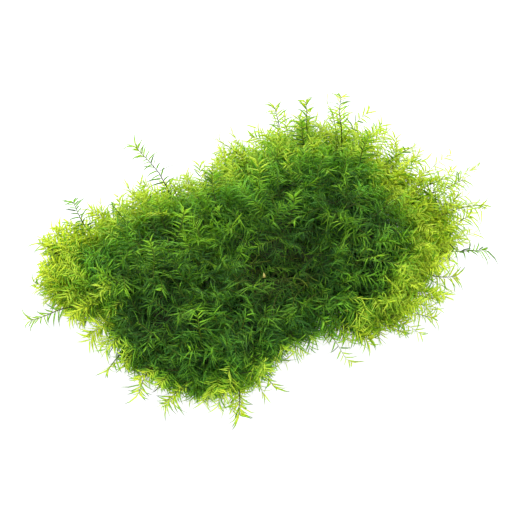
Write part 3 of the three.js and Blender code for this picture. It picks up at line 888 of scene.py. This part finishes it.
def makeFelt():
    angles = np.linspace(0, 2 * np.pi, felt["columns"], endpoint=False)
    girths = np.linspace(0, 2.0, felt["rows"] + 1)[1:]
    points, normal = skinGrid(angles, girths, inset=mixed(felt["inset"], openSide(angles)),
                              drop=felt["drop"])
    x, y, z = np.moveaxis(points, -1, 0)
    rough = sum(np.sin(rate * (x * math.cos(way) + y * math.sin(way) + felt["upRate"] * z)
                       + felt["start"] * way) / rate ** felt["finer"]
                for rate, way in felt["waves"])
    points = points + normal * (felt["depth"] * rough)[..., None]
    points[..., 2] = np.maximum(points[..., 2], felt["foot"])
    rows, columns = points.shape[:2]
    grid = np.arange(rows * columns).reshape(rows, columns)
    a, b = grid[:-1], np.roll(grid[:-1], -1, axis=1)
    c, d = np.roll(grid[1:], -1, axis=1), grid[1:]
    quads = np.stack([a, d, c, b], -1).reshape(-1, 4)
    top, foot = rows * columns, rows * columns + 1
    ends = np.concatenate([
        np.stack([grid[0], np.roll(grid[0], -1), np.full(columns, top)], -1),
        np.stack([np.roll(grid[-1], -1), grid[-1], np.full(columns, foot)], -1)])
    triangles = np.concatenate([quads[:, [0, 1, 2]], quads[:, [0, 2, 3]], ends])
    middle = skinPoint(np.zeros(1), np.zeros(1), drop=felt["drop"])
    whole = np.concatenate([points.reshape(-1, 3), middle, [[0, 0, felt["foot"]]]])
    piece = makePiece("oldStemFelt", whole, triangles, feltMaterial)
    piece.data.polygons.foreach_set("use_smooth", np.ones(len(triangles), bool))


makeFelt()


# The loose fronds stand where their nodes are. A node's longest way is the stem, its second is the
# flat side, and a parabola through its points gives the bend. Uneven is how much more their leaves
# differ than the mat's.
loose = {
    "leafSpacing": 0.58, "leafLength": 3.5, "breadth": 1.4, "bareLength": 3.5, "uneven": 2.4,
    "crowding": 1.6, "tipFade": 0.95, "stemAge": 0.08, "stemRadius": 0.23, "twistSpread": 0.25,
    "pastStem": 1.6,  # how far the last leaves reach past the stem's end
    "below": 40,  # every frond points away from a place this far under the mat
    "hue": (0.35, 0.85),  # at age 0 and at age 1
    "newerTip": 0.05, "rimAge": (0.72, 0.88), "crownAge": (0.36, 0.52),
    "ownAge": {3: 0.42, 4: 0.56, 13: 0.46, 19: 0.8, 20: 0.82, 24: 0.6},  # rim fronds by number
}


def frondLine(name):
    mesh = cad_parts[name].data
    points = np.empty(len(mesh.vertices) * 3, np.float32)
    mesh.vertices.foreach_get("co", points)
    points = np.unique((points.reshape(-1, 3) / mm).round(3), axis=0)
    middle = points.mean(axis=0)
    axes = np.linalg.svd(points - middle)[2]
    stem = axes[0] * np.sign(axes[0] @ (middle + loose["below"] * upward))
    side = axes[1]
    face = np.cross(stem, side)
    s, n = (points - middle) @ stem, (points - middle) @ face
    a, b, c = np.polyfit(s, n, 2)
    start, end = s.min(), s.max()
    slopes = 2 * a * start + b, 2 * a * end + b
    bendAngle = math.atan(slopes[1]) - math.atan(slopes[0])
    along = unit(stem + slopes[0] * face)
    isRim = name.startswith("rim")
    age = random.uniform(*loose["rimAge" if isRim else "crownAge"])
    if isRim:
        age = loose["ownAge"].get(int(name[-2:]), age)
    return {
        "root": middle + start * stem + (a * start ** 2 + b * start + c) * face, "along": along,
        "side": side, "bend": unit(face - (face @ along) * along) * np.sign(bendAngle),
        "length": end - start - loose["pastStem"], "bendAngle": abs(bendAngle),
        "twist": random.normal(0, loose["twistSpread"]), "phase": random.random(), "age": age,
        "hue": mixed(loose["hue"], age),
    }


def growLooseFrond(name, line):
    one = {**loose, **line, "tipAge": line["age"] + loose["newerTip"]}
    grown = growShoots({key: np.array([value]) for key, value in one.items()},
                       int(round(line["length"] / loose["leafSpacing"])),
                       loose["bareLength"] / line["length"], leafForm["rings"], loose["crowding"])
    slotName = "new_growth" if name.startswith("rim") else "crown_growth"
    makeGrowth(name.replace("_f", "F").replace("_", ""), grown, slotName=slotName, nodes=(name,))


frondLines = {name: frondLine(name) for name in sorted(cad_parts) if "frond" in name}
for nodeName, frond in frondLines.items():
    growLooseFrond(nodeName, frond)


# Brushes: most of the rim's loose fronds don't stand out alone but in the middle of a few shorter
# shoots, which fan out from the same root.
brush = {
    "alone": (3, 4, 13, 24),  # fronds without a brush
    "plain": {"each": 3, "reach": 0.95, "lift": 0.0, "fan": 0.25},
    # and what some have instead, by the frond's number
    "each": {10: 11, 11: 6, 12: 5, 14: 2, 15: 2, 16: 6, 17: 5, 18: 6, 19: 2, 20: 7, 21: 2, 22: 1,
             23: 1},
    "reach": {10: 1.45, 11: 1.0, 16: 1.1, 17: 1.1, 18: 1.1},
    "lift": {10: 0.2, 11: 0.1}, "fan": {19: 0.35, 20: 0.5},
    "length": (0.62, 0.96), "rootSpread": 1.3, "lowestRoot": 1.0, "turnSpread": 0.4,
    "bend": (0.5, 0.35), "newer": (0.04, 0.08), "hue": (0.68, 0.1),  # means and standard deviations
    "twistSpread": 0.5, "newerTip": 0.1, "leafLength": (2.9, 3.8), "breadth": (1.0, 1.45),
    "stemAge": 0.4, "uneven": 1.5, "tipFade": 0.7, "leaves": 17, "bareShare": 0.15,
}


def growBrushes():
    numbers = {int(name[-2:]): line for name, line in frondLines.items() if name.startswith("rim")}
    kept = [n for n in numbers if n not in brush["alone"]]

    def own(key):
        return [brush[key].get(n, brush["plain"][key]) for n in kept]

    each = own("each")
    reach, lift, fan = (np.repeat(own(key), each)[:, None] for key in ("reach", "lift", "fan"))
    root, along, length, age = (np.repeat([numbers[n][key] for n in kept], each, axis=0)
                                for key in ("root", "along", "length", "age"))
    count = len(root)
    along = unit(along + lift * upward + fan * scatter(1, count))
    root = root + scatter(brush["rootSpread"], count)
    root[:, 2] = np.maximum(root[:, 2], brush["lowestRoot"])
    side = unit(np.cross(along, upward + scatter(brush["turnSpread"], count)))
    s = {
        "root": root, "along": along, "side": side, "bend": np.cross(along, side),
        "length": length * reach[:, 0] * between(brush["length"], count),
        "bendAngle": random.normal(*brush["bend"], count),
        "twist": random.normal(0, brush["twistSpread"], count), "phase": random.random(count),
        "age": age + random.normal(*brush["newer"], count), "tipAge": age + brush["newerTip"],
        "hue": random.normal(*brush["hue"], count),
        "leafLength": between(brush["leafLength"], count),
        "breadth": between(brush["breadth"], count), "stemAge": brush["stemAge"] * age,
        "stemRadius": np.full(count, stemForm["radius"]),
        "uneven": np.full(count, brush["uneven"]), "tipFade": np.full(count, brush["tipFade"]),
    }
    makeGrowth("rimBrushes", growShoots(s, brush["leaves"], brush["bareShare"], leafForm["rings"]))


growBrushes()


# The table, the light and the camera

# sizes and places here are in metres
table = {"halfSize": 1.5, "colour": "#6E7072", "roughness": 0.6, "glow": 0.92}


def makeTable():
    half = table["halfSize"]
    mesh = bpy.data.meshes.new("table")
    mesh.from_pydata([(-half, -half, 0), (half, -half, 0), (half, half, 0), (-half, half, 0)], [],
                     [(0, 1, 2, 3)])
    material = bpy.data.materials.new("whiteTable")
    tree = emptyTree(material)
    shader = addNode(tree, "BsdfPrincipled", values={
        "Base Color": linear(table["colour"]), "Roughness": table["roughness"],
        "Emission Color": (1, 1, 1, 1), "Emission Strength": table["glow"]})
    addNode(tree, "OutputMaterial", links={"Surface": shader})
    mesh.materials.append(material)
    floor = newObject("table", mesh)


# and here too
light = {"sky": 2.1, "keyPower": 8.0, "keySize": 0.5, "keyPlace": (0.5, 0.75, 0.7)}


def makeLight():
    world = bpy.data.worlds.new("studio")
    bpy.context.scene.world = world
    tree = emptyTree(world)
    sky = addNode(tree, "Background", values={
        "Color": (1, 1, 1, 1), "Strength": light["sky"]})
    addNode(tree, "OutputWorld", links={"Surface": sky})
    lamp = bpy.data.lights.new("softKey", "AREA")
    lamp.energy, lamp.size = light["keyPower"], light["keySize"]
    key = newObject("softKey", lamp)
    key.location = light["keyPlace"]
    key.rotation_euler = Vector(light["keyPlace"]).to_track_quat("Z", "Y").to_euler()


camera = {"azimuth": -41, "elevation": 42, "lens": 120, "sensor": 36, "width": 139,
          "aim": (0.4, 0.5, 9.7)}


# The camera looks from its azimuth and elevation, as far off as makes the frame this wide at the mat.
def makeCamera():
    data = bpy.data.cameras.new("camera")
    data.lens, data.sensor_width = camera["lens"], camera["sensor"]
    az, el = math.radians(camera["azimuth"]), math.radians(camera["elevation"])
    back = Vector((math.sin(az) * math.cos(el), -math.cos(az) * math.cos(el), math.sin(el)))
    eye = newObject("camera", data)
    away = camera["width"] * camera["lens"] / camera["sensor"]
    eye.location = (Vector(camera["aim"]) + back * away) * mm
    eye.rotation_euler = back.to_track_quat("Z", "Y").to_euler()
    bpy.context.scene.camera = eye


makeTable()
makeLight()
makeCamera()
bpy.context.scene.view_settings.view_transform = "Standard"
print("stage: made")
